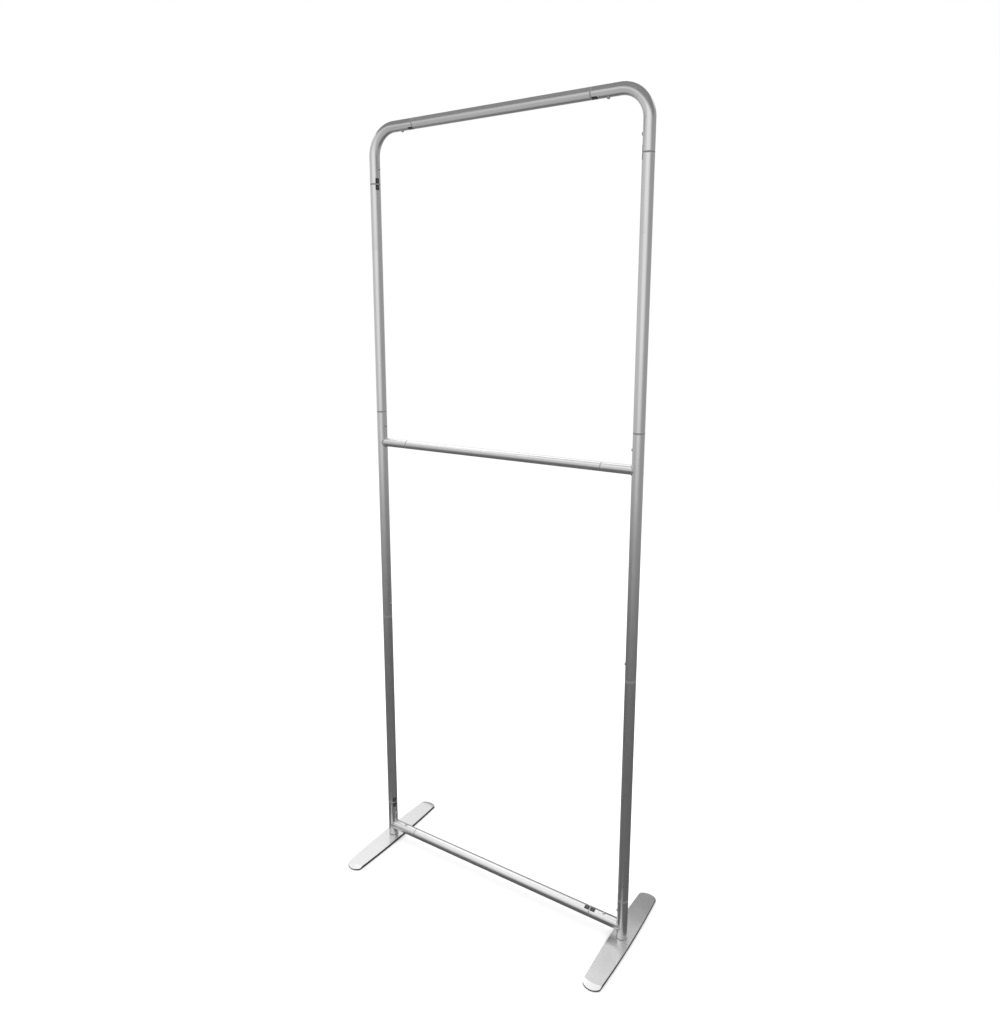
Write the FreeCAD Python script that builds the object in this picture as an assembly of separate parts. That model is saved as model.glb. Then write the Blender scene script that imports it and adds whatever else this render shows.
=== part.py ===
import FreeCAD, Part
import math
import os

# Knock-down display frame: silver tubes plugged together with snap buttons, on two flat feet.
# Millimetres. X is the width, Y runs from front to back and Z up from the floor,
# and the origin is on the floor midway between the feet.

# Main tube: uprights, corners, top tube and bottom bar
TUBE_OD = 30.0
TUBE_WALL = 1.2

# Lighter tube of the mid bar
MID_OD = 25.0
MID_WALL = 1.2

# Sections, each from seam to seam, and the distance between the axes of the uprights
POST_SPACING = 850.0
BASE_POST_LENGTH = 122.5
LOWER_LENGTH = 663.0
MIDDLE_LENGTH = 663.0
UPPER_LENGTH = 663.0
SEAM_GAP = 0.3
SEAM_CHAMFER = 0.5

# Bent corners: each leg runs from the crossing of its two axes to the seam
CORNER_LEG = 150.0
BEND_RADIUS = 75.0

# Cross bars: stubs welded to the uprights take the bars' ends
STUB_REACH = 100.0
MID_BAR_DROP = 95.0
BOTTOM_BAR_RISE = 35.0
WELD_GAP = 0.15

# Spigots: inner sleeves that carry each plugged joint, with equal reach both ways
SPIGOT_WALL = 1.2
SPIGOT_REACH = 62.0
SPIGOT_CLEARANCE = 0.15

# Snap buttons
BUTTON_OD = 8.0
BUTTON_RISE = 4.0
BUTTON_CAP = 2.2
BUTTON_SETBACK = 43.0
BUTTON_CLEARANCE = 0.3
FLANGE_OD = 11.0
FLANGE_THICK = 1.0
FLANGE_GAP = 0.2

# Leaf springs that push the buttons out, bent to a V from flat strip
SPRING_WIDTH = 7.0
SPRING_THICK = 0.6
SPRING_LENGTH = 36.0
SPRING_BEND = 4.0
SPRING_TIP = 3.0
SPRING_GAP = 0.2

# Feet: flat plates with bowed sides and arched, bevelled ends, and thin pads under them
FOOT_LENGTH = 410.0
FOOT_WIDTH = 62.0
FOOT_SIDE_BOW = 5.5
FOOT_THICK = 8.0
FOOT_END_ARCH = 12.0
FOOT_CORNER = 6.0
FOOT_EDGE = 1.2
FOOT_BEVEL_LENGTH = 18.0
FOOT_BEVEL_DROP = 4.5
FOOT_BEVEL_ROUND = 60.0
FOOT_BEVEL_SWEEP = 90.0
PAD_LENGTH = 55.0
PAD_WIDTH = 44.0
PAD_THICK = 1.5
PAD_CORNER = 6.0
PAD_INSET = 8.0

# Foot bolts: countersunk from below into plugs in the posts' lower ends
BOLT_OD = 8.0
BOLT_GRIP = 18.0
BOLT_HEAD_OD = 15.0
BOLT_HEAD_RECESS = 0.5
BOLT_RUNNING_FIT = 0.05
BOLT_HEAD_CLEARANCE = 0.2
HEX_FLATS = 5.0
HEX_DEPTH = 2.6
PLUG_LENGTH = 25.0
PLUG_CLEARANCE = 0.1

# Heights and half widths that follow from the sizes above
POST_X = POST_SPACING / 2
PLATE_TOP = PAD_THICK + FOOT_THICK
BASE_SEAM = PLATE_TOP + BASE_POST_LENGTH
LOWER_SEAM = BASE_SEAM + LOWER_LENGTH
UPPER_SEAM = LOWER_SEAM + MIDDLE_LENGTH
SHOULDER_SEAM = UPPER_SEAM + UPPER_LENGTH
TOP_AXIS = SHOULDER_SEAM + CORNER_LEG
MID_AXIS = UPPER_SEAM - MID_BAR_DROP
BOTTOM_AXIS = PLATE_TOP + BOTTOM_BAR_RISE
TUBE_BORE = TUBE_OD - 2 * TUBE_WALL

V = FreeCAD.Vector
UP = V(0, 0, 1)
DOWN = V(0, 0, -1)
BACK = V(0, 1, 0)
SIDES = {"left": -1, "right": 1}


def tube(od, wall, start, end):
    """Plain tube between two points."""
    run = end - start
    outer = Part.makeCylinder(od / 2, run.Length, start, run)
    return outer.cut(Part.makeCylinder(od / 2 - wall, run.Length, start, run))


def section(od, wall, start, end, gap_at_start=True, gap_at_end=True):
    """Tube between two seams: an end that meets another tube is set back and its edge broken."""
    along = (end - start).normalize()
    first = start + along * (SEAM_GAP / 2) if gap_at_start else start
    last = end - along * (SEAM_GAP / 2) if gap_at_end else end
    meeting = [at for at, gap in ((first, gap_at_start), (last, gap_at_end)) if gap]

    def is_seam_rim(edge):
        outside = isinstance(edge.Curve, Part.Circle) and edge.Curve.Radius > od / 2 - wall / 2
        return outside and any(edge.Curve.Center.isEqual(at, SEAM_GAP / 2) for at in meeting)

    whole = tube(od, wall, first, last)
    return whole.makeChamfer(SEAM_CHAMFER, [e for e in whole.Edges if is_seam_rim(e)])


def turned(points, axis):
    """Solid turned about an axis through the first and last points of a closed profile."""
    face = Part.Face(Part.makePolygon(points + points[:1]))
    return face.revolve(points[0], axis, 360)


class Seam:
    """Plugged joint, modelled along Z with the socket upwards and its button towards X."""

    def __init__(self, at, into, facing, od, wall):
        self.od = od
        self.spigot_od = od - 2 * wall - 2 * SPIGOT_CLEARANCE
        self.spigot_bore = self.spigot_od - 2 * SPIGOT_WALL
        self.flange_top = self.depth(FLANGE_OD) - FLANGE_GAP
        self.place = FreeCAD.Placement(at, FreeCAD.Rotation(facing, into.cross(facing), into, "ZXY"))

    def depth(self, width):
        """Distance from the axis to the spigot's bore, where a flat of this width meets it."""
        return math.sqrt((self.spigot_bore / 2) ** 2 - (width / 2) ** 2)

    def put(self, shape):
        shape.Placement = self.place
        return shape

    def hole_cutter(self):
        at = V(0, 0, BUTTON_SETBACK)
        return Part.makeCylinder(BUTTON_OD / 2 + BUTTON_CLEARANCE, self.od, at, V(1, 0, 0))

    def socket_hole(self):
        return self.put(self.hole_cutter())

    def spigot(self):
        sleeve = tube(self.spigot_od, SPIGOT_WALL, V(0, 0, -SPIGOT_REACH), V(0, 0, SPIGOT_REACH))
        return self.put(sleeve.cut(self.hole_cutter()))

    def button(self):
        """Flanged button with a domed head that stands out of the tube."""
        radius = BUTTON_OD / 2
        bottom = self.flange_top - FLANGE_THICK
        top = self.od / 2 + BUTTON_RISE
        shoulder = top - BUTTON_CAP
        cap_radius = (radius ** 2 + BUTTON_CAP ** 2) / (2 * BUTTON_CAP)
        half_turn = math.asin(radius / cap_radius) / 2
        cap_middle = V(top - cap_radius * (1 - math.cos(half_turn)), 0,
                       BUTTON_SETBACK + cap_radius * math.sin(half_turn))
        outline = [V(bottom, 0, BUTTON_SETBACK),
                   V(bottom, 0, BUTTON_SETBACK + FLANGE_OD / 2),
                   V(self.flange_top, 0, BUTTON_SETBACK + FLANGE_OD / 2),
                   V(self.flange_top, 0, BUTTON_SETBACK + radius),
                   V(shoulder, 0, BUTTON_SETBACK + radius)]
        tip = V(top, 0, BUTTON_SETBACK)
        edges = [Part.LineSegment(a, b).toShape() for a, b in zip(outline, outline[1:])]
        edges.append(Part.Arc(outline[-1], cap_middle, tip).toShape())
        edges.append(Part.LineSegment(tip, outline[0]).toShape())
        return self.put(Part.Face(Part.Wire(edges)).revolve(outline[0], V(1, 0, 0), 360))

    def spring(self):
        """V of flat strip: one leg under the button, the other along the far wall."""
        half = SPRING_THICK / 2
        low = -(self.depth(SPRING_WIDTH) - SPRING_GAP - half)
        tip = V(self.flange_top - FLANGE_THICK - SPRING_GAP - SPRING_THICK, 0, BUTTON_SETBACK + SPRING_TIP)
        centre = V(low + SPRING_BEND, 0, BUTTON_SETBACK - SPRING_LENGTH)
        reach = tip - centre
        turn = math.acos(SPRING_BEND / reach.Length)
        start = math.atan2(-reach.z, reach.x) + turn
        end = math.pi

        def on_bend(radius, angle):
            return centre + V(radius * math.cos(angle), 0, -radius * math.sin(angle))

        def bend(radius, first, last):
            middle = on_bend(radius, (start + end) / 2)
            return Part.Arc(on_bend(radius, first), middle, on_bend(radius, last)).toShape()

        outer, inner = SPRING_BEND + half, SPRING_BEND - half
        across = on_bend(half, start) - centre
        leg_end = BUTTON_SETBACK + SPRING_TIP
        corners = [(tip - across, tip + across),
                   (tip + across, on_bend(outer, start)),
                   (on_bend(outer, end), V(low - half, 0, leg_end)),
                   (V(low - half, 0, leg_end), V(low + half, 0, leg_end)),
                   (V(low + half, 0, leg_end), on_bend(inner, end)),
                   (on_bend(inner, start), tip - across)]
        edges = [Part.LineSegment(a, b).toShape() for a, b in corners]
        edges += [bend(outer, start, end), bend(inner, end, start)]
        strip = Part.Face(Part.Wire(Part.__sortEdges__(edges)))
        strip.translate(V(0, -SPRING_WIDTH / 2, 0))
        return self.put(strip.extrude(V(0, SPRING_WIDTH, 0)))


def seams_of(side):
    """The seven plugged joints of one side, all with their buttons towards the inside of the frame."""
    x = side * POST_X
    inward = V(-side, 0, 0)
    outward = V(side, 0, 0)
    stub_x = side * (POST_X - STUB_REACH)
    top_x = side * (POST_X - CORNER_LEG)
    main = (TUBE_OD, TUBE_WALL)
    return {
        "base": Seam(V(x, 0, BASE_SEAM), DOWN, inward, *main),
        "lower": Seam(V(x, 0, LOWER_SEAM), UP, inward, *main),
        "upper": Seam(V(x, 0, UPPER_SEAM), DOWN, inward, *main),
        "shoulder": Seam(V(x, 0, SHOULDER_SEAM), UP, inward, *main),
        "top": Seam(V(top_x, 0, TOP_AXIS), outward, DOWN, *main),
        "mid_bar": Seam(V(stub_x, 0, MID_AXIS), outward, BACK, MID_OD, MID_WALL),
        "bottom_bar": Seam(V(stub_x, 0, BOTTOM_AXIS), outward, UP, *main),
    }


def corner(side):
    """Tube bent through a right angle between the shoulder seam and the top seam."""
    inward = V(-side, 0, 0)
    straight = CORNER_LEG - BEND_RADIUS
    foot = V(side * POST_X, 0, SHOULDER_SEAM)
    bend_start = foot + UP * straight
    bend_centre = bend_start + inward * BEND_RADIUS
    bend_end = bend_centre + UP * BEND_RADIUS
    ring = Part.Face(Part.Wire(Part.makeCircle(TUBE_OD / 2, bend_start, UP)))
    hole = Part.Face(Part.Wire(Part.makeCircle(TUBE_BORE / 2, bend_start, UP)))
    bend = ring.cut(hole).Faces[0].revolve(bend_centre, V(0, -side, 0), 90)
    rise = section(TUBE_OD, TUBE_WALL, foot, bend_start, gap_at_end=False)
    run = section(TUBE_OD, TUBE_WALL, bend_end, bend_end + inward * straight, gap_at_start=False)
    return rise.fuse([bend, run]).removeSplitter()


def upright(side, low, high, gap_at_start=True):
    x = side * POST_X
    return section(TUBE_OD, TUBE_WALL, V(x, 0, low), V(x, 0, high), gap_at_start)


def stub(side, od, wall, height):
    """Short socket for a cross bar, shaped to sit on its upright."""
    on_axis = V(side * POST_X, 0, height)
    seam = on_axis + V(-side * STUB_REACH, 0, 0)
    whole = section(od, wall, seam, on_axis, gap_at_end=False)
    saddle = Part.makeCylinder(TUBE_OD / 2 + WELD_GAP, 2 * od, on_axis - UP * od, UP)
    if side > 0:
        # a cylinder's seam line is on its +X side: here it is turned to the stub, as on the left
        saddle.rotate(on_axis, UP, 180)
    return whole.cut(saddle)


def cross_tube(od, wall, half_span, height):
    return section(od, wall, V(-half_span, 0, height), V(half_span, 0, height))


def countersunk(x, shank, head):
    """Countersunk bolt without its socket, or with larger radii, its hole in the plate."""
    under = PAD_THICK + BOLT_HEAD_RECESS
    cone = (BOLT_HEAD_OD - BOLT_OD) / 2
    top = PLATE_TOP + BOLT_GRIP
    return turned([V(x, 0, under), V(x + head, 0, under), V(x + shank, 0, under + cone),
                   V(x + shank, 0, top), V(x, 0, top)], UP)


def foot_bolt(side):
    x = side * POST_X
    under = V(x, 0, PAD_THICK + BOLT_HEAD_RECESS)
    reach = HEX_FLATS / math.sqrt(3)
    angles = [math.radians(60 * k) for k in range(6)]
    hexagon = [under + V(math.cos(a), math.sin(a), 0) * reach for a in angles]
    socket = Part.Face(Part.makePolygon(hexagon + hexagon[:1])).extrude(UP * HEX_DEPTH)
    return countersunk(x, BOLT_OD / 2, BOLT_HEAD_OD / 2).cut(socket)


def end_bevel(x, way):
    """Cutter for the bevel at one end of a foot, whose upper edge is round in plan."""
    inner, outer = FOOT_BEVEL_ROUND, FOOT_BEVEL_ROUND + 2 * FOOT_BEVEL_LENGTH
    centre = V(x, way * (FOOT_LENGTH / 2 - FOOT_BEVEL_LENGTH - FOOT_BEVEL_ROUND), 0)
    start = math.radians(way * 90 - FOOT_BEVEL_SWEEP / 2)
    outward = V(math.cos(start), math.sin(start), 0)
    above = PLATE_TOP + FOOT_THICK
    corners = [(inner, PLATE_TOP), (outer, PLATE_TOP - 2 * FOOT_BEVEL_DROP), (outer, above), (inner, above)]
    points = [centre + outward * r + UP * z for r, z in corners]
    return Part.Face(Part.makePolygon(points + points[:1])).revolve(centre, UP, FOOT_BEVEL_SWEEP)


def foot_plate(side):
    """Bowed plate with arched, bevelled ends and rounded upper edges, that turns about its bolt."""
    x = side * POST_X
    half_w, half_l = FOOT_WIDTH / 2, FOOT_LENGTH / 2
    half_end = half_w - FOOT_SIDE_BOW
    shoulder = half_l - FOOT_END_ARCH
    z = PAD_THICK

    def end_arch(way):
        return Part.Arc(V(x - way * half_end, way * shoulder, z), V(x, way * half_l, z),
                        V(x + way * half_end, way * shoulder, z)).toShape()

    def long_side(way):
        return Part.Arc(V(x + way * half_end, way * shoulder, z), V(x + way * half_w, 0, z),
                        V(x + way * half_end, -way * shoulder, z)).toShape()

    outline = Part.Wire([end_arch(1), long_side(1), end_arch(-1), long_side(-1)])
    plate = Part.Face(outline).extrude(UP * FOOT_THICK)
    corners = [e for e in plate.Edges if e.BoundBox.ZLength > FOOT_THICK / 2]
    plate = plate.makeFillet(FOOT_CORNER, corners)
    rim = [e for e in plate.Edges if e.BoundBox.ZMin > PLATE_TOP - FOOT_THICK / 2]
    plate = plate.makeFillet(min(FOOT_EDGE, FOOT_THICK / 2), rim)
    head_hole = BOLT_HEAD_OD / 2 + BOLT_HEAD_CLEARANCE
    shank_hole = countersunk(x, BOLT_OD / 2 + BOLT_RUNNING_FIT, head_hole)
    counterbore = Part.makeCylinder(head_hole, BOLT_HEAD_RECESS, V(x, 0, PAD_THICK), UP)
    return plate.cut([end_bevel(x, 1), end_bevel(x, -1), shank_hole, counterbore])


def foot_pads(side):
    """Two thin pads under one foot, near its ends."""
    pads = []
    for way in (-1, 1):
        middle = way * (FOOT_LENGTH / 2 - FOOT_END_ARCH - PAD_INSET - PAD_LENGTH / 2)
        low = V(side * POST_X - PAD_WIDTH / 2, middle - PAD_LENGTH / 2, 0)
        pad = Part.makeBox(PAD_WIDTH, PAD_LENGTH, PAD_THICK, low)
        upright_edges = [e for e in pad.Edges if e.BoundBox.ZLength > PAD_THICK / 2]
        pads.append(pad.makeFillet(PAD_CORNER, upright_edges))
    return Part.makeCompound(pads)


def post_plug(side):
    """Plug with a tapped hole, in the lower end of the base post."""
    at = V(side * POST_X, 0, PLATE_TOP)
    body = Part.makeCylinder(TUBE_BORE / 2 - PLUG_CLEARANCE, PLUG_LENGTH, at, UP)
    return body.cut(Part.makeCylinder(BOLT_OD / 2 + BOLT_RUNNING_FIT, PLUG_LENGTH, at, UP))


def side_parts(side, seams):
    """The tubes and the foot of one side."""
    def socketed(shape, *names):
        for name in names:
            shape = shape.cut(seams[name].socket_hole())
        return shape

    return {
        "foot_plate": foot_plate(side),
        "foot_pads": foot_pads(side),
        "foot_bolt": foot_bolt(side),
        "post_plug": post_plug(side),
        "base_post": socketed(upright(side, PLATE_TOP, BASE_SEAM, gap_at_start=False), "base"),
        "lower_upright": upright(side, BASE_SEAM, LOWER_SEAM),
        "middle_upright": socketed(upright(side, LOWER_SEAM, UPPER_SEAM), "lower", "upper"),
        "upper_upright": upright(side, UPPER_SEAM, SHOULDER_SEAM),
        "corner": socketed(corner(side), "shoulder", "top"),
        "mid_stub": socketed(stub(side, MID_OD, MID_WALL, MID_AXIS), "mid_bar"),
        "bottom_stub": socketed(stub(side, TUBE_OD, TUBE_WALL, BOTTOM_AXIS), "bottom_bar"),
    }


def all_parts():
    stub_x = POST_X - STUB_REACH
    parts = {
        "top_tube": cross_tube(TUBE_OD, TUBE_WALL, POST_X - CORNER_LEG, TOP_AXIS),
        "mid_bar": cross_tube(MID_OD, MID_WALL, stub_x, MID_AXIS),
        "bottom_bar": cross_tube(TUBE_OD, TUBE_WALL, stub_x, BOTTOM_AXIS),
    }
    spigots = {}
    for word, side in SIDES.items():
        seams = seams_of(side)
        for name, shape in side_parts(side, seams).items():
            parts[f"{name}_{word}"] = shape
        for name, seam in seams.items():
            parts[f"{name}_button_{word}"] = seam.button()
            parts[f"{name}_spring_{word}"] = seam.spring()
            spigots.setdefault(name, []).append(seam.spigot())
    for name, pair in spigots.items():
        parts[f"{name}_spigots"] = Part.makeCompound(pair)
    return parts


os.makedirs("parts", exist_ok=True)
for node, shape in all_parts().items():
    shape.exportStep(f"parts/{node}.step")
    print(f"{node}: {len(shape.Solids)} solid, {shape.Volume / 1000:.2f} cm3, valid {shape.isValid()}")
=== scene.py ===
import bpy
import math
from mathutils import Matrix, Vector


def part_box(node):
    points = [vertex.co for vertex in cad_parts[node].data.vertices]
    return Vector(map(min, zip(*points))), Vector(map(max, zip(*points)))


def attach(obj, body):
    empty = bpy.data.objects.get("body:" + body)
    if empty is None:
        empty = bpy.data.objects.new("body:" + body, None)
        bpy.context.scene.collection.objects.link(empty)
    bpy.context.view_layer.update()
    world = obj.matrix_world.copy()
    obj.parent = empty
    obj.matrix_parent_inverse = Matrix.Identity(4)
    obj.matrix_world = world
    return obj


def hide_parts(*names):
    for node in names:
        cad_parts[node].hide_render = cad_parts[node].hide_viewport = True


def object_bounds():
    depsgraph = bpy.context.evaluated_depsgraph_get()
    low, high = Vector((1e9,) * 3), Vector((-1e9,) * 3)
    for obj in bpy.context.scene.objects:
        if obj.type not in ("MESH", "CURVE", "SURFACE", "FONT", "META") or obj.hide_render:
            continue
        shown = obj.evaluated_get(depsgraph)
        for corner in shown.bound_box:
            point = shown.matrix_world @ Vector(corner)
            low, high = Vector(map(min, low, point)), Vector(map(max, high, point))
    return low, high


# Looks of a knock-down display frame: satin tubes, welds, number patches and coated feet.
# Metres. X is the width, Y runs from front to back and Z up from the floor.

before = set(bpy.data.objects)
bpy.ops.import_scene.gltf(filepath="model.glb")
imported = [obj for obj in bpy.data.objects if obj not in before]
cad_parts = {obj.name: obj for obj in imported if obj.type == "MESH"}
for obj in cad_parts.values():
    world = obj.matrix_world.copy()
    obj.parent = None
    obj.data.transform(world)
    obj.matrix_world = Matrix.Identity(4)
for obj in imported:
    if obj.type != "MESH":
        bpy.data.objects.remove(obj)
cad_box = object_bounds()

SIDES = {"left": -1, "right": 1}

# Upright tubes, with the seams whose button holes they carry
UPRIGHTS = {
    "base_post": ["base"],
    "lower_upright": [],
    "middle_upright": ["lower", "upper"],
    "upper_upright": [],
}

# Welded stubs, with the seam at the free end
STUBS = {"mid_stub": "mid_bar", "bottom_stub": "bottom_bar"}

# Seams, with a tube on whose axis they lie
SEAM_TUBES = {
    "base": "base_post_{}",
    "lower": "middle_upright_{}",
    "upper": "middle_upright_{}",
    "shoulder": "upper_upright_{}",
    "top": "top_tube",
    "mid_bar": "mid_bar",
    "bottom_bar": "bottom_bar",
}
CROSS_SEAMS = ("top", "mid_bar", "bottom_bar")

# Tubes
TUBE_WALL = 0.0012
EDGE_BREAK = 0.0006
BEND_RADIUS = 0.075
BEND_STEPS = 32
TUBE_SIDES = 56
TUBE_CUTS = 30
CORNER_CUTS = 1
HOLE_RADIUS = 0.0043
HOLE_SIDES = 32
POST_RADIUS = 0.015
COPE_SIDES = 96
SHARP_ANGLE = math.radians(34)
SAME_INDEX = 0.1

# Weld beads where the stubs meet the posts
BEAD_RADIUS = 0.0019
BEAD_RIPPLE = 0.00035
BEAD_PITCH = 0.0024
BEAD_STEPS = 6
BEAD_SIDES = 10

# Number patches beside the seams
PATCH_WIDTH = 0.0115
PATCH_LENGTH = 0.0145
PATCH_CORNER = 0.0012
PATCH_THICK = 0.00012
PATCH_COLUMNS = 9
PATCH_CORNER_ROWS = 4
PATCH_OFFSET = 0.0092
NUMERAL_HEIGHT = 0.0062
NUMERAL_LIFT = 0.00003
SHOULDER_NUMBERS = {"left": "1", "right": "2"}
TOP_NUMBERS = {"left": "3", "right": "4"}
BASE_NUMBERS = {"left": "5", "right": "6"}
BOTTOM_BAR_NUMBER = "8"

# Turn of the patches round a post, the bottom bar and a corner
POST_PATCH_TURN = math.radians(25)
BAR_PATCH_TURN = math.radians(18)
TOP_PATCH_TURN = math.radians(68)

# Bevelled ends of the feet, round in plan
BEVEL_ROUND = 0.060
BEVEL_CENTRE = 0.127
BEVEL_SLOPE = 0.25

# Fineness of the patterns on a drawn tube, twice across it and once along it
DIE_LINES = (2600, 2600, 14)
DIE_STREAKS = (260, 260, 3)
HANDLING_MARKS = (60, 60, 22)
SCUFF_MARKS = (1500, 1500, 160)

# Brightness and tint of a drawn tube, and the reach of what its cut ends show
ALUMINIUM_LEVEL = 0.70
DRAWN_TINT = (1.0, 1.0, 1.006)
CUT_END_LEVEL = 0.36
CUT_END_REACH = (0.0016, 0.0030)
GRIME_REACH = 0.0022
WEAR_REACH = 0.012

# Coat of the feet: rubbed at a distance from the middle line, and rougher below a depth under the top,
# where the sides are painted dark as shade
COAT_LEVEL = 0.74
COAT_METALLIC = 0.72
COAT_SCRATCHES = (900, 60, 300)
COAT_RUBBED = (0.0285, 0.0305)
COAT_SHADE_DEPTH = (0.0008, 0.0018)

# Bluish tint of plated steel
PLATE_TINT = (1.0, 1.0, 1.01)

# Camera, as the photograph was taken
IMAGE_SIZE = (1000, 1012)
FOCAL_PIXELS = 776.8
OPTICAL_CENTRE = (509.97, 468.83)
CAMERA_PLACE = (1.1864, -1.7955, 1.7371)
CAMERA_TURN = 0.5671
CAMERA_DIP = 0.1902
CAMERA_ROLL = 0.0028
SENSOR_WIDTH = 36.0
CAMERA_REACH = 200

# Floor: its own colour, the lift that only the camera sees, and its level in the metal, near and far
FLOOR_SIZE = 13.0
FLOOR_COLOUR = 0.90
FLOOR_LIFT = 0.36
CONTACT_REACH = 0.03
CONTACT_SAMPLES = 8
FLOOR_NEAR = 0.15
FLOOR_FAR = 0.58
FLOOR_FADE = (1.0, 7.0)

# Studio around it: the light on the object, and the walls that the metal mirrors, with their soft edges
WORLD_FILL = 0.74
STUDIO_LEVEL = 0.43
FRONT_WALL = (0.20, -0.95, 0.20)
FRONT_LEVEL = 1.06
FRONT_EDGE = (0.55, 0.99)
FRONT_TOP = (0.45, 0.8)
BACK_WALL = (-0.68, 0.39, 0.62)
BACK_LEVEL = 1.12
BACK_EDGE = (0.88, 0.97)
SIDE_WALL = (-0.95, -0.30, 0.0)
SIDE_LEVEL = 0.72
SIDE_EDGE = (0.60, 0.95)
SOFTBOX_PLACE = (-0.6, 0.2, 3.6)
SOFTBOX_AIM = (-0.6, 0.2, 0.0)
SOFTBOX_SIZE = (5.0, 5.5)
SOFTBOX_POWER = 72
WHITE = (1, 1, 1, 1)

# Cards that only reflections show, as a studio holds them beside bright metal
CEILING_CARD_LEVEL = 0.22
CEILING_CARD_LOW = (-0.60, -0.26)
CEILING_CARD_HIGH = (0.95, 0.12)
CEILING_CARD_RISE = 0.075
FRONT_CARD_LEVEL = 0.55
FRONT_CARD_LOW = (-0.75, -0.85)
FRONT_CARD_HIGH = (0.45, -0.03)
FRONT_CARD_DROP = 0.35
LOW_CARD_LEVEL = 1.15
LOW_CARD_LOW = (-0.78, -0.72)
LOW_CARD_HIGH = (0.40, -0.06)
LOW_CARD_HEIGHT = 0.45
FLOOR_CARD_LEVEL = 0.10
FLOOR_CARD_LOW = (0.24, 0.02)
FLOOR_CARD_HIGH = (0.52, 0.20)
FLOOR_CARD_PLACE = 0.26


class Socket:
    """Output of a node, with arithmetic that adds Math nodes."""

    def __init__(self, nodes, output):
        self.nodes = nodes
        self.output = output

    def also(self, name):
        """Another output of the same node."""
        return Socket(self.nodes, self.output.node.outputs[name])

    def __add__(self, other):
        return self.nodes.math("ADD", self, other)

    __radd__ = __add__

    def __sub__(self, other):
        return self.nodes.math("SUBTRACT", self, other)

    def __rsub__(self, other):
        return self.nodes.math("SUBTRACT", other, self)

    def __mul__(self, other):
        return self.nodes.math("MULTIPLY", self, other)

    __rmul__ = __mul__

    def __truediv__(self, other):
        return self.nodes.math("DIVIDE", self, other)

    def __abs__(self):
        return self.nodes.math("ABSOLUTE", self)


class Nodes:
    """Node tree that is written as expressions."""

    def __init__(self, tree):
        self.tree = tree
        tree.nodes.clear()

    def add(self, kind, settings=None, sockets=None, out=0):
        """One node: its settings first, then the values or links of its sockets."""
        node = self.tree.nodes.new(kind)
        for name, value in (settings or {}).items():
            setattr(node, name, value)
        for name, value in (sockets or {}).items():
            if isinstance(value, Socket):
                self.tree.links.new(value.output, node.inputs[name])
            else:
                node.inputs[name].default_value = value
        return Socket(self, node.outputs[out]) if node.outputs else None

    def math(self, operation, *values):
        return self.add("ShaderNodeMath", {"operation": operation}, dict(enumerate(values)))

    def vector(self, x, y, z):
        return self.add("ShaderNodeCombineXYZ", None, {"X": x, "Y": y, "Z": z})

    def stretched(self, vector, scale):
        """Coordinates multiplied axis by axis."""
        return self.add("ShaderNodeVectorMath", {"operation": "MULTIPLY"}, {0: vector, 1: scale})

    def noise(self, vector, scale=1.0, detail=2.0, roughness=0.5):
        return self.add("ShaderNodeTexNoise", None, {"Vector": vector, "Scale": scale, "Detail": detail,
                                                     "Roughness": roughness})

    def ramp(self, value, low, high, at_low=0.0, at_high=1.0):
        """Smooth step of a value from one level to another."""
        return self.add("ShaderNodeMapRange", {"interpolation_type": "SMOOTHSTEP"},
                        {"Value": value, "From Min": low, "From Max": high,
                         "To Min": at_low, "To Max": at_high})

    def grey(self, value, tint=(1.0, 1.0, 1.0)):
        """Colour from a brightness, with a slight tint."""
        return self.stretched(self.vector(value, value, value), tint)

    def bump(self, height, distance, strength):
        return self.add("ShaderNodeBump", None,
                        {"Strength": strength, "Distance": distance, "Height": height})


def new_finish(name):
    """Empty material, and its tree to write in."""
    material = bpy.data.materials.new(name)
    material.use_nodes = True
    return material, Nodes(material.node_tree)


def surface(nodes, sockets):
    """Closing shader of a finish."""
    shader = nodes.add("ShaderNodeBsdfPrincipled", None, sockets)
    nodes.add("ShaderNodeOutputMaterial", None, {"Surface": shader})


def drawn_aluminium(name, gloss_blur, end_mark):
    """Satin tube: fine lines from the drawing die, soft handling marks and matt, grimy cut ends."""
    material, nodes = new_finish(name)
    drawn = nodes.add("ShaderNodeAttribute", {"attribute_name": "drawn"}, out="Vector")
    rim = nodes.add("ShaderNodeAttribute", {"attribute_name": "rim_distance"}, out="Fac")
    lines = nodes.noise(nodes.stretched(drawn, DIE_LINES), detail=2)
    streaks = nodes.noise(nodes.stretched(drawn, DIE_STREAKS), detail=3)
    handling = nodes.noise(nodes.stretched(drawn, HANDLING_MARKS), detail=4, roughness=0.6)
    scuffs = nodes.noise(nodes.stretched(drawn, SCUFF_MARKS), detail=3, roughness=0.7)
    grime = nodes.ramp(rim, 0.0, GRIME_REACH, 1.0, 0.0) * (0.45 + 0.4 * handling)
    worn = nodes.ramp(rim, 0.0, WEAR_REACH, 1.0, 0.0) * nodes.ramp(scuffs, 0.58, 0.72)
    level = ALUMINIUM_LEVEL + 0.05 * (lines - 0.5) + 0.09 * (streaks - 0.5) + 0.05 * (handling - 0.5)
    cut_end = nodes.ramp(rim, *CUT_END_REACH, end_mark, 0.0)
    level = level + cut_end * (CUT_END_LEVEL - level)
    level = level * (1 - 0.4 * grime) + 0.10 * worn
    rough = gloss_blur + 0.12 * handling + 0.06 * streaks + 0.15 * grime + 0.25 * cut_end - 0.06 * worn
    surface(nodes, {"Base Color": nodes.grey(level, DRAWN_TINT), "Metallic": 1 - 0.75 * cut_end,
                    "Roughness": rough,
                    "Normal": nodes.bump(lines + 0.5 * scuffs, distance=0.00002, strength=0.35)})
    return material


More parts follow.
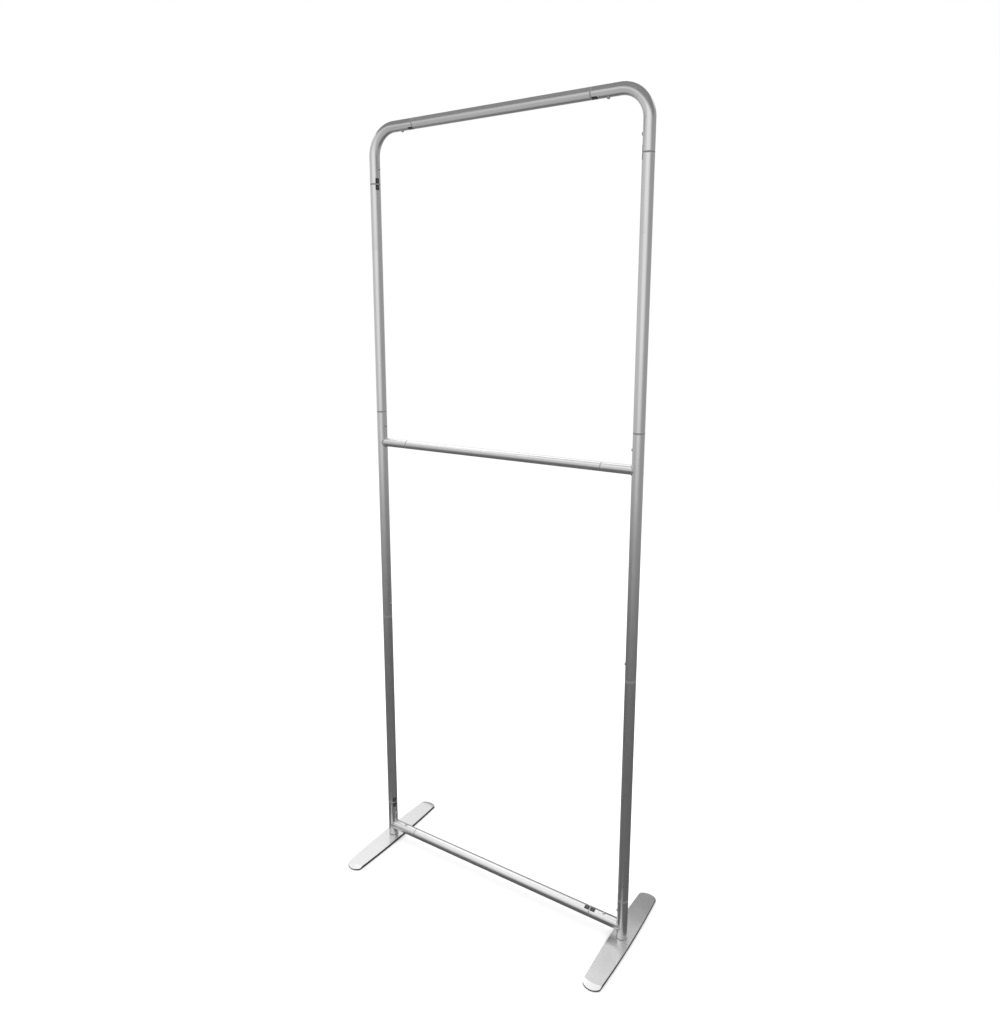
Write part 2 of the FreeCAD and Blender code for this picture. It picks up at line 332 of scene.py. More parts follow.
def weld_metal():
    """Cleaned weld: rough and grainy, with darker and duller patches of soot."""
    material, nodes = new_finish("weld_metal")
    place = nodes.add("ShaderNodeTexCoord", out="Object")
    grain = nodes.noise(place, scale=2400, detail=4, roughness=0.65)
    soot = nodes.noise(place, scale=420, detail=3)
    surface(nodes, {"Base Color": nodes.grey(0.52 + 0.22 * grain - 0.16 * soot), "Metallic": 1.0,
                    "Roughness": 0.40 + 0.18 * soot,
                    "Normal": nodes.bump(grain, distance=0.00012, strength=0.5)})
    return material


def plated_steel(name, level, rough):
    """Zinc plate: faint crystal patches, fine pits and a brighter worn bloom."""
    material, nodes = new_finish(name)
    place = nodes.add("ShaderNodeTexCoord", out="Object")
    crystal = nodes.add("ShaderNodeTexVoronoi", None, {"Vector": place, "Scale": 900.0}, out="Color")
    patch = nodes.add("ShaderNodeSeparateXYZ", None, {"Vector": crystal})
    bloom = nodes.noise(place, scale=260, detail=4, roughness=0.6)
    pits = nodes.noise(place, scale=3800, detail=2)
    level = level + 0.10 * (patch - 0.5) + 0.12 * (bloom - 0.5)
    surface(nodes, {"Base Color": nodes.grey(level, PLATE_TINT), "Metallic": 1.0,
                    "Roughness": rough + 0.14 * bloom + 0.05 * patch,
                    "Normal": nodes.bump(pits, distance=0.00003, strength=0.4)})
    return material


def mill_metal(name, level, rough, stretch):
    """Plain metal of the hidden parts: fine streaks, drawn out by the stretch, and faint stains."""
    material, nodes = new_finish(name)
    place = nodes.add("ShaderNodeTexCoord", out="Object")
    lines = nodes.noise(nodes.stretched(place, stretch), detail=3, roughness=0.6)
    stain = nodes.noise(place, scale=90, detail=4)
    level = level + 0.12 * (lines - 0.5) - 0.10 * (stain - 0.5)
    surface(nodes, {"Base Color": nodes.grey(level), "Metallic": 1.0,
                    "Roughness": rough + 0.16 * stain,
                    "Normal": nodes.bump(lines, distance=0.00003, strength=0.5)})
    return material


def silver_coat():
    """Silver coat on the feet: fine flake, slight orange peel, rubbed long edges, and sides that are
    rougher and painted dark as shade.
    """
    material, nodes = new_finish("silver_coat")
    place = nodes.add("ShaderNodeTexCoord", out="Object")
    across = nodes.add("ShaderNodeSeparateXYZ", None, {"Vector": place})
    edge = abs(abs(across) - POST_X)
    flake = nodes.noise(place, scale=5200, detail=1)
    peel = nodes.noise(place, scale=700, detail=2)
    cloud = nodes.noise(place, scale=28, detail=4, roughness=0.6)
    scratch = nodes.noise(nodes.stretched(place, COAT_SCRATCHES), detail=4, roughness=0.7)
    rubbed = nodes.ramp(edge, *COAT_RUBBED) * nodes.ramp(cloud, 0.42, 0.62)
    marks = nodes.ramp(scratch, 0.66, 0.74)
    towards_end = nodes.math("MAXIMUM", abs(across.also("Y")) - BEVEL_CENTRE, 0.0)
    reach = nodes.add("ShaderNodeVectorMath", {"operation": "LENGTH"},
                      {0: nodes.vector(edge, towards_end, 0.0)}, out="Value")
    past_flat = nodes.math("MAXIMUM", reach - BEVEL_ROUND, 0.0)
    top_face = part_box("foot_plate_right")[1].z - BEVEL_SLOPE * past_flat
    # Mask of the plate's sides below the top face, which get painted shade and a rougher surface
    painted_shade_sides = nodes.ramp(top_face - across.also("Z"), *COAT_SHADE_DEPTH)
    level = COAT_LEVEL + 0.04 * (flake - 0.5) + 0.05 * (cloud - 0.5) - 0.08 * rubbed - 0.03 * marks
    # Painted shade: the sides below the top face are darkened in colour
    level = level * (1 - 0.85 * painted_shade_sides)
    rough = 0.23 + 0.08 * cloud + 0.05 * marks - 0.05 * rubbed + 0.15 * painted_shade_sides
    surface(nodes, {"Base Color": nodes.grey(level), "Metallic": COAT_METALLIC, "Roughness": rough,
                    "Normal": nodes.bump(peel + 0.3 * flake, distance=0.00006, strength=0.10)})
    return material


def pad_rubber():
    """Matt black rubber with a dusty, slightly worn face."""
    material, nodes = new_finish("pad_rubber")
    place = nodes.add("ShaderNodeTexCoord", out="Object")
    grain = nodes.noise(place, scale=2600, detail=3)
    dust = nodes.noise(place, scale=110, detail=4, roughness=0.6)
    surface(nodes, {"Base Color": nodes.grey(0.022 + 0.03 * dust + 0.01 * grain),
                    "Roughness": 0.72 + 0.2 * dust,
                    "Normal": nodes.bump(grain, distance=0.00012, strength=0.6)})
    return material


def patch_black():
    """Black printed film with a slight sheen and rubbed specks."""
    material, nodes = new_finish("patch_black")
    place = nodes.add("ShaderNodeTexCoord", out="Object")
    specks = nodes.ramp(nodes.noise(place, scale=2600, detail=3, roughness=0.7), 0.64, 0.76)
    print_tone = nodes.noise(place, scale=500, detail=2)
    surface(nodes, {"Base Color": nodes.grey(0.012 + 0.012 * print_tone + 0.08 * specks),
                    "Roughness": 0.34 + 0.2 * print_tone + 0.2 * specks})
    return material


def numeral_ink():
    """Grey ink of the numerals, unevenly worn."""
    material, nodes = new_finish("numeral_ink")
    place = nodes.add("ShaderNodeTexCoord", out="Object")
    worn = nodes.noise(place, scale=3000, detail=3, roughness=0.7)
    surface(nodes, {"Base Color": nodes.grey(0.12 + 0.16 * worn), "Roughness": 0.45 + 0.2 * worn})
    return material


def open_tree(name, inputs):
    """New Geometry Nodes tree with named inputs."""
    tree = bpy.data.node_groups.new(name, "GeometryNodeTree")
    tree.interface.new_socket("Geometry", in_out="INPUT", socket_type="NodeSocketGeometry")
    for label, kind in inputs.items():
        tree.interface.new_socket(label, in_out="INPUT", socket_type=kind)
    tree.interface.new_socket("Geometry", in_out="OUTPUT", socket_type="NodeSocketGeometry")
    nodes = Nodes(tree)
    return tree, nodes, nodes.add("NodeGroupInput")


def close_tree(nodes, geometry, material):
    """Smooth shading, real geometry and a finish, as every tree ends."""
    smooth = nodes.add("GeometryNodeSetShadeSmooth", None, {"Geometry": geometry})
    real = nodes.add("GeometryNodeRealizeInstances", None, {"Geometry": smooth})
    done = nodes.add("GeometryNodeSetMaterial", None, {"Geometry": real, "Material": material})
    nodes.add("NodeGroupOutput", None, {"Geometry": done})


def tube_tree():
    """Outer skin of a tube swept along its route, bent at the corners, with broken end edges."""
    tree, nodes, given = open_tree("tube_along_route", {
        "Radius": "NodeSocketFloat", "Edge Break": "NodeSocketFloat", "Bend Radius": "NodeSocketFloat",
        "Bend Steps": "NodeSocketInt", "Cuts": "NodeSocketInt", "Sides": "NodeSocketInt",
        "Material": "NodeSocketMaterial"})
    route = nodes.add("GeometryNodeMeshToCurve", None, {"Mesh": given})
    bent = nodes.add("GeometryNodeFilletCurve", {"mode": "POLY"}, {
        "Curve": route, "Count": given.also("Bend Steps"), "Radius": given.also("Bend Radius"),
        "Limit Radius": False})
    path = nodes.add("GeometryNodeSubdivideCurve", None, {"Curve": bent, "Cuts": given.also("Cuts")})
    along = nodes.add("GeometryNodeSplineParameter", out="Length")
    length = nodes.add("GeometryNodeSplineLength")
    index = along.also("Index")
    second = nodes.math("COMPARE", index, 1.0, SAME_INDEX)
    last_but_one = nodes.math("COMPARE", index, length.also("Point Count") - 2, SAME_INDEX)
    shift = (second * (given.also("Edge Break") - along)
             + last_but_one * (length - given.also("Edge Break") - along))
    tangent = nodes.add("GeometryNodeInputTangent")
    path = nodes.add("GeometryNodeSetPosition", None, {
        "Geometry": path, "Offset": nodes.stretched(tangent, nodes.vector(shift, shift, shift))})
    to_rim = nodes.math("MINIMUM", along, length - along)
    ring = nodes.add("GeometryNodeCurvePrimitiveCircle", {"mode": "RADIUS"},
                     {"Resolution": given.also("Sides"), "Radius": 1.0})
    broken = nodes.math("MAXIMUM", given.also("Edge Break") - to_rim, 0.0)
    skin = nodes.add("GeometryNodeCurveToMesh", None, {"Curve": path, "Profile Curve": ring,
                                                       "Scale": given.also("Radius") - broken})
    close_tree(nodes, skin, given.also("Material"))
    return tree


def bead_tree():
    """Rippled weld bead along the saddle where a stub, lying along X, meets an upright post."""
    tree, nodes, given = open_tree("bead_on_saddle", {
        "Post Radius": "NodeSocketFloat", "Stub Radius": "NodeSocketFloat",
        "Bead Radius": "NodeSocketFloat", "Ripple": "NodeSocketFloat",
        "Ripples": "NodeSocketInt", "Steps": "NodeSocketInt", "Sides": "NodeSocketInt",
        "Material": "NodeSocketMaterial"})
    count = nodes.math("MULTIPLY", given.also("Ripples"), given.also("Steps"))
    circle = nodes.add("GeometryNodeCurvePrimitiveCircle", {"mode": "RADIUS"},
                       {"Resolution": count, "Radius": 1.0})
    unit = nodes.add("ShaderNodeSeparateXYZ", None, {"Vector": nodes.add("GeometryNodeInputPosition")})
    y = unit * given.also("Stub Radius")
    z = unit.also("Y") * given.also("Stub Radius")
    post = given.also("Post Radius")
    x = nodes.math("SQRT", nodes.math("MAXIMUM", post * post - y * y, 0.0))
    saddle = nodes.add("GeometryNodeSetPosition", None,
                       {"Geometry": circle, "Position": nodes.vector(x, y, z)})
    index = nodes.add("GeometryNodeInputIndex")
    wave = abs(nodes.math("SINE", index * math.pi / given.also("Steps")))
    ring = nodes.add("GeometryNodeCurvePrimitiveCircle", {"mode": "RADIUS"},
                     {"Resolution": given.also("Sides"), "Radius": 1.0})
    bead = nodes.add("GeometryNodeCurveToMesh", None, {
        "Curve": saddle, "Profile Curve": ring,
        "Scale": given.also("Bead Radius") + wave * given.also("Ripple")})
    close_tree(nodes, bead, given.also("Material"))
    return tree


def mesh_object(name, points, edges=(), faces=()):
    mesh = bpy.data.meshes.new(name)
    mesh.from_pydata([tuple(p) for p in points], edges, faces)
    made = bpy.data.objects.new(name, mesh)
    bpy.context.scene.collection.objects.link(made)
    return made


def set_inputs(modifier, values):
    """Values for a tree's inputs, by their sockets' identifiers."""
    for item in modifier.node_group.interface.items_tree:
        if item.in_out == "INPUT" and item.name in values:
            modifier[item.identifier] = values[item.name]


def bake(made, place=Matrix()):
    """Turn an object's modifiers into a plain mesh, with its place in that mesh."""
    evaluated = made.evaluated_get(bpy.context.evaluated_depsgraph_get())
    mesh = bpy.data.meshes.new_from_object(evaluated)
    made.modifiers.clear()
    mesh.transform(place)
    mesh.name = made.name
    made.data = mesh
    mesh.shade_smooth()
    mesh.set_sharp_from_angle(angle=SHARP_ANGLE)


def rod(axis_from, axis_to, radius, sides):
    """Points and faces of a closed round bar, for cutting holes and copes."""
    run = axis_to - axis_from
    turn = run.to_track_quat("Z", "Y").to_matrix()
    rings = []
    for at in (axis_from, axis_to):
        for step in range(sides):
            angle = 2 * math.pi * step / sides
            rings.append(at + turn @ Vector((radius * math.cos(angle), radius * math.sin(angle), 0)))
    faces = [tuple(reversed(range(sides))), tuple(range(sides, 2 * sides))]
    faces += [(i, (i + 1) % sides, sides + (i + 1) % sides, sides + i) for i in range(sides)]
    return rings, faces


def cutter(name, rods):
    """All the rods that cut one tube, as one object."""
    points, faces = [], []
    for rod_points, rod_faces in rods:
        first = len(points)
        points += rod_points
        faces += [tuple(first + i for i in face) for face in rod_faces]
    return mesh_object(name, points, faces=faces)


def middle_of(node):
    """Middle of a CAD node's box."""
    low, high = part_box(node)
    return (low + high) / 2


def straight_run(node):
    """The two ends of a straight tube's axis, and its radius."""
    low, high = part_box(node)
    size = high - low
    along = max(range(3), key=lambda axis: size[axis])
    start, end = middle_of(node), middle_of(node)
    start[along], end[along] = low[along], high[along]
    return [start, end], min(size) / 2


def corner_run(node, side):
    """The ends and the crossing of a bent corner's two axes."""
    low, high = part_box(node)
    radius = POST_RADIUS
    post_x = side * POST_X
    top = high.z - radius
    inner_x = low.x if side > 0 else high.x
    return [Vector((post_x, 0, low.z)), Vector((post_x, 0, top)), Vector((inner_x, 0, top))], radius


def along_straight(run):
    """Rule that unrolls a straight tube: two distances across its axis and one along it."""
    start, end = run
    axis = (end - start).normalized()
    side = axis.orthogonal().normalized()
    other = axis.cross(side)

    def unrolled(point):
        reach = point - start
        return reach.dot(side), reach.dot(other), reach.dot(axis)

    return unrolled, (end - start).length


def along_corner(run):
    """The same rule for a tube with one square bend."""
    start, crossing, end = run
    back, ahead = (start - crossing), (end - crossing)
    first, last = back.length - BEND_RADIUS, ahead.length - BEND_RADIUS
    arc = BEND_RADIUS * math.pi / 2
    back.normalize()
    ahead.normalize()
    across = back.cross(ahead)
    centre = crossing + (back + ahead) * BEND_RADIUS

    def unrolled(point):
        reach = point - centre
        rise, run_on = reach.dot(back), reach.dot(ahead)
        if rise > 0:
            return -run_on - BEND_RADIUS, reach.dot(across), first - rise
        if run_on > 0:
            return -rise - BEND_RADIUS, reach.dot(across), first + arc + run_on
        turned = BEND_RADIUS * math.atan2(-rise, -run_on)
        return math.hypot(rise, run_on) - BEND_RADIUS, reach.dot(across), first + turned

    return unrolled, first + arc + last


def mark_skin(mesh, run):
    """Attributes for the finish: the place on the drawn skin, and the distance to the nearer end."""
    unrolled, length = along_straight(run) if len(run) == 2 else along_corner(run)
    places = [unrolled(vertex.co) for vertex in mesh.vertices]
    drawn = mesh.attributes.new("drawn", "FLOAT_VECTOR", "POINT")
    drawn.data.foreach_set("vector", [value for place in places for value in place])
    rim = mesh.attributes.new("rim_distance", "FLOAT", "POINT")
    rim.data.foreach_set("value", [min(place[2], length - place[2]) for place in places])


def tube(node, finish, run, radius, cuts, rods=()):
    """Tube in place of a CAD node: swept skin, wall, then its button holes and cope."""
    made = mesh_object(f"{node}_drawn", run, edges=[(i, i + 1) for i in range(len(run) - 1)])
    sweep = made.modifiers.new("sweep", "NODES")
    sweep.node_group = TUBE_TREE
    set_inputs(sweep, {"Radius": radius, "Edge Break": EDGE_BREAK, "Bend Radius": BEND_RADIUS,
                       "Bend Steps": BEND_STEPS, "Cuts": cuts, "Sides": TUBE_SIDES, "Material": finish})
    wall = made.modifiers.new("wall", "SOLIDIFY")
    wall.thickness = TUBE_WALL
    wall.offset = -1
    holes = None
    if rods:
        holes = cutter(f"{node}_holes", rods)
        drill = made.modifiers.new("drill", "BOOLEAN")
        drill.operation = "DIFFERENCE"
        drill.solver = "EXACT"
        drill.object = holes
    bake(made)
    mark_skin(made.data, run)
    if holes:
        bpy.data.objects.remove(holes)
    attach(made, "frame")
    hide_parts(node)


def button_rod(seam, word):
    """Hole for a snap button: from the tube's axis outwards along the button's own line."""
    low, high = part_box(f"{seam}_button_{word}")
    size = high - low
    facing = min(range(3), key=lambda axis: size[axis])
    outer, inner = middle_of(f"{seam}_button_{word}"), middle_of(f"{seam}_button_{word}")
    tube_axis = middle_of(SEAM_TUBES[seam].format(word))[facing]
    inner[facing] = tube_axis
    reach = high[facing] if high[facing] - tube_axis > tube_axis - low[facing] else low[facing]
    outer[facing] = reach
    return rod(inner, outer, HOLE_RADIUS, HOLE_SIDES)


def cope_rod(word):
    """The post's round side, cut into the end of a stub."""
    x = SIDES[word] * POST_X
    return rod(Vector((x, 0, 0)), Vector((x, 0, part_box("top_tube")[1].z)), POST_RADIUS, COPE_SIDES)


def weld(stub, word):
    """Bead around the end of a stub."""
    side = SIDES[word]
    height = middle_of(f"{stub}_{word}").z
    _, radius = straight_run(f"{stub}_{word}")
    made = mesh_object(f"{stub}_weld_{word}", [(0, 0, 0)])
    lay = made.modifiers.new("bead", "NODES")
    lay.node_group = BEAD_TREE
    set_inputs(lay, {"Post Radius": POST_RADIUS, "Stub Radius": radius, "Bead Radius": BEAD_RADIUS,
                     "Ripple": BEAD_RIPPLE, "Ripples": round(2 * math.pi * radius / BEAD_PITCH),
                     "Steps": BEAD_STEPS, "Sides": BEAD_SIDES, "Material": WELD})
    turn = Matrix.Rotation(math.pi if side > 0 else 0.0, 4, "Z")
    bake(made, Matrix.Translation((side * POST_X, 0, height)) @ turn)
    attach(made, "frame")


def patch_rows():
    """Heights and half widths of a patch's rows, rounded at its corners."""
    straight = PATCH_LENGTH / 2 - PATCH_CORNER
    rows = []
    for step in range(PATCH_CORNER_ROWS + 1):
        angle = math.pi / 2 * step / PATCH_CORNER_ROWS
        rows.append((straight + PATCH_CORNER * math.cos(angle),
                     PATCH_WIDTH / 2 - PATCH_CORNER * (1 - math.sin(angle))))
    return rows + [(-height, half) for height, half in reversed(rows)]


def wrapped(point, at, along, facing):
    """Flat point, across and along, laid on the main tube, which runs along an axis and faces a way."""
    across, lengthwise, lift = point
    sideways = along.cross(facing)
    angle = across / POST_RADIUS
    outward = facing * math.cos(angle) + sideways * math.sin(angle)
    return at + along * lengthwise + outward * (POST_RADIUS + lift)


def numeral_points(text):
    """Flat mesh of a numeral, centred."""
    curve = bpy.data.curves.new("numeral", "FONT")
    curve.body = text
    curve.size = 1.0
    curve.align_x = "CENTER"
    holder = bpy.data.objects.new("numeral", curve)
    bpy.context.scene.collection.objects.link(holder)
    mesh = bpy.data.meshes.new_from_object(holder.evaluated_get(bpy.context.evaluated_depsgraph_get()))
    points = [v.co.copy() for v in mesh.vertices]
    faces = [tuple(p.vertices) for p in mesh.polygons]
    bpy.data.objects.remove(holder)
    low = Vector(min(p[i] for p in points) for i in range(3))
    high = Vector(max(p[i] for p in points) for i in range(3))
    scale = NUMERAL_HEIGHT / (high.y - low.y)
    centre = (low + high) / 2
    return [(p - centre) * scale for p in points], faces


def number_patch(name, at, along, facing, text):
    """Printed patch with its numeral, wrapped on a tube beside a seam."""
    rows = patch_rows()
    points, faces, finishes = [], [], []
    for layer in (0.0, PATCH_THICK):
        for height, half in rows:
            for column in range(PATCH_COLUMNS):
                across = half * (2 * column / (PATCH_COLUMNS - 1) - 1)
                points.append(wrapped((across, height, layer), at, along, facing))
    top = len(rows) * PATCH_COLUMNS

    def quad(row, column, base):
        corner = base + row * PATCH_COLUMNS + column
        return corner, corner + 1, corner + PATCH_COLUMNS + 1, corner + PATCH_COLUMNS

    for row in range(len(rows) - 1):
        for column in range(PATCH_COLUMNS - 1):
            faces.append(quad(row, column, 0))
            faces.append(tuple(reversed(quad(row, column, top))))
    last_row = (len(rows) - 1) * PATCH_COLUMNS
    rim = list(range(PATCH_COLUMNS))
    rim += [row * PATCH_COLUMNS + PATCH_COLUMNS - 1 for row in range(1, len(rows))]
    rim += [last_row + column for column in range(PATCH_COLUMNS - 2, -1, -1)]
    rim += [row * PATCH_COLUMNS for row in range(len(rows) - 2, 0, -1)]
    for a, b in zip(rim, rim[1:] + rim[:1]):
        faces.append((b, a, top + a, top + b))
    finishes += [0] * len(faces)
    ink_points, ink_faces = numeral_points(text)
    first = len(points)
    for p in ink_points:
        points.append(wrapped((p.x, p.y, PATCH_THICK + NUMERAL_LIFT), at, along, facing))
    for face in ink_faces:
        faces.append(tuple(first + i for i in face))
        finishes.append(1)
    made = mesh_object(name, points, faces=faces)
    made.data.materials.append(PATCH_BLACK)
    made.data.materials.append(NUMERAL_INK)
    made.data.polygons.foreach_set("material_index", finishes)
    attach(made, "frame")


def number_pair(name, seam_at, along, facing, text):
    """The same number on both sides of a seam."""
    for label, way in (("a", -1), ("b", 1)):
        at = seam_at + along * (way * PATCH_OFFSET)
        number_patch(f"{name}_{label}", at, along, facing, text)


def seam_height(node):
    """Height of the seam at the top of an upright tube."""
    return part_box(node)[1].z


def add_numbers():
    """Patches on the posts' inner sides, the bottom bar's right end and the undersides of the corners."""
    up = Vector((0, 0, 1))
    for word, side in SIDES.items():
        facing = Vector((-side * math.cos(POST_PATCH_TURN), -math.sin(POST_PATCH_TURN), 0))
        shoulder = Vector((side * POST_X, 0, seam_height(f"upper_upright_{word}")))
        base = Vector((side * POST_X, 0, seam_height(f"base_post_{word}")))
        number_pair(f"number_shoulder_{word}", shoulder, up, facing, SHOULDER_NUMBERS[word])
        number_pair(f"number_base_{word}", base, up, facing, BASE_NUMBERS[word])
    level = Vector((1, 0, 0))
    bar_end = Vector((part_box("bottom_bar")[1].x, 0, middle_of("bottom_bar").z))
    facing = Vector((0, -math.sin(BAR_PATCH_TURN), math.cos(BAR_PATCH_TURN)))
    number_pair("number_bottom_bar_right", bar_end, level, facing, BOTTOM_BAR_NUMBER)
    facing = Vector((0, -math.cos(TOP_PATCH_TURN), -math.sin(TOP_PATCH_TURN)))
    for word, side in SIDES.items():
        top_end = middle_of("top_tube")
        top_end.x += side * (straight_run("top_tube")[0][1].x + PATCH_OFFSET)
        number_patch(f"number_top_{word}", top_end, level, facing, TOP_NUMBERS[word])


def add_tubes():
    """Bars, uprights, corners and stubs, with the stubs' welds."""
    for seam in CROSS_SEAMS:
        node = SEAM_TUBES[seam]
        tube(node, CROSS_TUBE, *straight_run(node), TUBE_CUTS)
    for word, side in SIDES.items():
        for upright, seams in UPRIGHTS.items():
            node = f"{upright}_{word}"
            holes = [button_rod(seam, word) for seam in seams]
            tube(node, UPRIGHT_TUBE, *straight_run(node), TUBE_CUTS, holes)
        tube(f"corner_{word}", UPRIGHT_TUBE, *corner_run(f"corner_{word}", side), CORNER_CUTS,
             [button_rod("shoulder", word), button_rod("top", word)])
        for stub, seam in STUBS.items():
            tube(f"{stub}_{word}", CROSS_TUBE, *straight_run(f"{stub}_{word}"), TUBE_CUTS,
                 [cope_rod(word), button_rod(seam, word)])
            weld(stub, word)


def finish_node(node, material):
    """One finish all over a CAD node."""
    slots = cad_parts[node].material_slots
    if not slots:
        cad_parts[node].data.materials.append(material)
    for slot in slots:
        slot.material = material


def finish_cad_nodes():
    """Finishes of the nodes that keep their CAD shapes."""
    upright_spigot = mill_metal("spigot_upright", level=0.62, rough=0.34, stretch=(1600, 1600, 20))
    cross_spigot = mill_metal("spigot_cross", level=0.62, rough=0.34, stretch=(20, 1600, 1600))
    spring = mill_metal("spring_strip", level=0.34, rough=0.26, stretch=(700, 700, 700))
    plug = mill_metal("plug_steel", level=0.46, rough=0.36, stretch=(500, 500, 2400))
    button = plated_steel("button_plate", level=0.52, rough=0.28)
    bolt = plated_steel("bolt_plate", level=0.52, rough=0.28)
    coat = silver_coat()
    rubber = pad_rubber()
    for seam in SEAM_TUBES:
        finish_node(f"{seam}_spigots", cross_spigot if seam in CROSS_SEAMS else upright_spigot)
        for word in SIDES:
            finish_node(f"{seam}_button_{word}", button)
            finish_node(f"{seam}_spring_{word}", spring)
    for word in SIDES:
        finish_node(f"foot_plate_{word}", coat)
        finish_node(f"foot_pads_{word}", rubber)
        finish_node(f"foot_bolt_{word}", bolt)
        finish_node(f"post_plug_{word}", plug)


def add_camera():
    """Camera fitted to the photograph, with the crop as a shift."""
    data = bpy.data.cameras.new("photo_camera")
    camera = bpy.data.objects.new("photo_camera", data)
    bpy.context.scene.collection.objects.link(camera)
    long_side = max(IMAGE_SIZE)
    data.sensor_width = SENSOR_WIDTH
    data.lens = FOCAL_PIXELS * SENSOR_WIDTH / long_side
    data.shift_x = (IMAGE_SIZE[0] / 2 - OPTICAL_CENTRE[0]) / long_side
    data.shift_y = (OPTICAL_CENTRE[1] - IMAGE_SIZE[1] / 2) / long_side
    data.clip_end = CAMERA_REACH
    camera.matrix_world = (Matrix.Translation(CAMERA_PLACE) @ Matrix.Rotation(CAMERA_TURN, 4, "Z")
                           @ Matrix.Rotation(math.pi / 2 - CAMERA_DIP, 4, "X")
                           @ Matrix.Rotation(CAMERA_ROLL, 4, "Z"))
    bpy.context.scene.camera = camera


def add_floor():
    """Pale floor: lifted to white for the camera except close under the object, and darker in metal."""
    half = FLOOR_SIZE / 2
    corners = [(-half, -half, 0), (half, -half, 0), (half, half, 0), (-half, half, 0)]
    floor = mesh_object("floor", corners, faces=[(0, 1, 2, 3)])
    material, nodes = new_finish("pale_floor")
    light_path = nodes.add("ShaderNodeLightPath", out="Is Camera Ray")
    mirrored = light_path.also("Is Glossy Ray") + light_path.also("Is Transmission Ray")
    place = nodes.add("ShaderNodeTexCoord", out="Object")
    reach = nodes.add("ShaderNodeVectorMath", {"operation": "LENGTH"}, {0: place}, out="Value")
    in_metal = nodes.ramp(reach, *FLOOR_FADE, FLOOR_NEAR, FLOOR_FAR)
    level = FLOOR_COLOUR + mirrored * (in_metal - FLOOR_COLOUR)
    paint = nodes.add("ShaderNodeBsdfDiffuse", None, {"Color": nodes.grey(level)})
    open_sky = nodes.add("ShaderNodeAmbientOcclusion", {"samples": CONTACT_SAMPLES},
                         {"Distance": CONTACT_REACH}, out="AO")
    lift = nodes.add("ShaderNodeEmission", None,
                     {"Color": WHITE, "Strength": light_path * open_sky * FLOOR_LIFT})
    both = nodes.add("ShaderNodeAddShader", None, {0: paint, 1: lift})
    nodes.add("ShaderNodeOutputMaterial", None, {"Surface": both})
    material.cycles.emission_sampling = "NONE"
    floor.data.materials.append(material)


def add_card(name, corners, level):
    """Card that glows on its front and is clear from behind, and that only reflections show."""
    card = mesh_object(name, corners, faces=[(0, 1, 2, 3)])
    material, nodes = new_finish(name)
    glow = nodes.add("ShaderNodeEmission", None, {"Color": WHITE, "Strength": level})
    clear = nodes.add("ShaderNodeBsdfTransparent")
    behind = nodes.add("ShaderNodeNewGeometry", out="Backfacing")
    one_sided = nodes.add("ShaderNodeMixShader", None, {0: behind, 1: glow, 2: clear})
    nodes.add("ShaderNodeOutputMaterial", None, {"Surface": one_sided})
    material.cycles.emission_sampling = "NONE"
    card.data.materials.append(material)
    card.visible_camera = False
    card.visible_diffuse = False
    card.visible_shadow = False


def add_cards():
    """Cards above and below the top tube, over the bottom bar and, upright, behind the right foot."""
    top = cad_box[1].z
    ceiling_z, front_z = top + CEILING_CARD_RISE, top - FRONT_CARD_DROP
    for name, low, high, z, faces_down, level in (
            ("ceiling_card", CEILING_CARD_LOW, CEILING_CARD_HIGH, ceiling_z, True, CEILING_CARD_LEVEL),
            ("front_card", FRONT_CARD_LOW, FRONT_CARD_HIGH, front_z, False, FRONT_CARD_LEVEL),
            ("low_card", LOW_CARD_LOW, LOW_CARD_HIGH, LOW_CARD_HEIGHT, True, LOW_CARD_LEVEL)):
        (x0, y0), (x1, y1) = low, high
        corners = [(x0, y0, z), (x1, y0, z), (x1, y1, z), (x0, y1, z)]
        add_card(name, corners[::-1] if faces_down else corners, level)
    (x0, z0), (x1, z1) = FLOOR_CARD_LOW, FLOOR_CARD_HIGH
    y = FLOOR_CARD_PLACE
    add_card("floor_card", [(x0, y, z0), (x1, y, z0), (x1, y, z1), (x0, y, z1)], FLOOR_CARD_LEVEL)


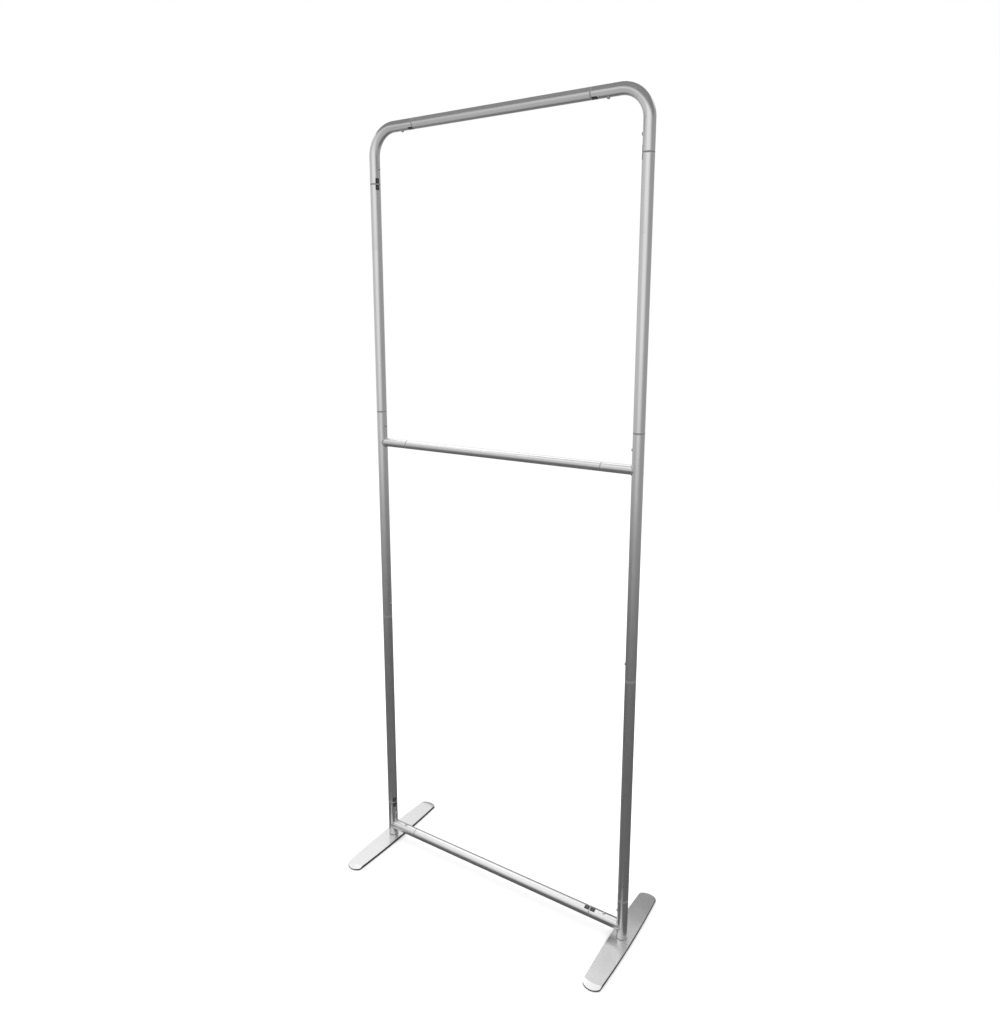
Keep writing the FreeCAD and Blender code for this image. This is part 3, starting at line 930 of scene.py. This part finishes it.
def add_world():
    """White for the camera, even light for the object, and three bright walls in reflections."""
    world = bpy.data.worlds.new("studio")
    world.use_nodes = True
    nodes = Nodes(world.node_tree)
    light_path = nodes.add("ShaderNodeLightPath", out="Is Camera Ray")
    mirrored = light_path.also("Is Glossy Ray") + light_path.also("Is Transmission Ray")
    direction = nodes.add("ShaderNodeTexCoord", out="Generated")
    height = nodes.add("ShaderNodeSeparateXYZ", None, {"Vector": direction}, out="Z")

    def facing(wall):
        return nodes.add("ShaderNodeVectorMath", {"operation": "DOT_PRODUCT"},
                         {0: direction, 1: Vector(wall).normalized()}, out="Value")

    front = nodes.ramp(facing(FRONT_WALL), *FRONT_EDGE) * nodes.ramp(height, *FRONT_TOP, 1.0, 0.0)
    side = nodes.ramp(facing(SIDE_WALL), *SIDE_EDGE)
    back = nodes.ramp(facing(BACK_WALL), *BACK_EDGE)
    studio = (STUDIO_LEVEL + front * (FRONT_LEVEL - STUDIO_LEVEL)
              + back * (BACK_LEVEL - STUDIO_LEVEL) + side * (SIDE_LEVEL - STUDIO_LEVEL))
    strength = light_path + mirrored * studio + (1 - light_path - mirrored) * WORLD_FILL
    sky = nodes.add("ShaderNodeBackground", None, {"Color": WHITE, "Strength": strength})
    nodes.add("ShaderNodeOutputWorld", None, {"Surface": sky})
    world.cycles.sampling_method = "NONE"
    bpy.context.scene.world = world


def add_softbox():
    """One large lamp overhead."""
    data = bpy.data.lights.new("ceiling_softbox", "AREA")
    data.shape = "RECTANGLE"
    data.size, data.size_y = SOFTBOX_SIZE
    data.energy = SOFTBOX_POWER
    lamp = bpy.data.objects.new("ceiling_softbox", data)
    bpy.context.scene.collection.objects.link(lamp)
    lamp.visible_camera = False
    lamp.location = SOFTBOX_PLACE
    beam = Vector(SOFTBOX_AIM) - Vector(SOFTBOX_PLACE)
    lamp.rotation_euler = beam.to_track_quat("-Z", "Y").to_euler()


# What the pieces share: the posts' distance from the middle, finishes and trees
POST_X = middle_of("base_post_right").x
UPRIGHT_TUBE = drawn_aluminium("drawn_upright", gloss_blur=0.20, end_mark=1.0)
CROSS_TUBE = drawn_aluminium("drawn_cross", gloss_blur=0.24, end_mark=0.2)
WELD = weld_metal()
PATCH_BLACK = patch_black()
NUMERAL_INK = numeral_ink()
TUBE_TREE = tube_tree()
BEAD_TREE = bead_tree()

add_tubes()
add_numbers()
finish_cad_nodes()
add_floor()
add_world()
add_cards()
add_softbox()
add_camera()
bpy.context.scene.view_settings.view_transform = "Standard"
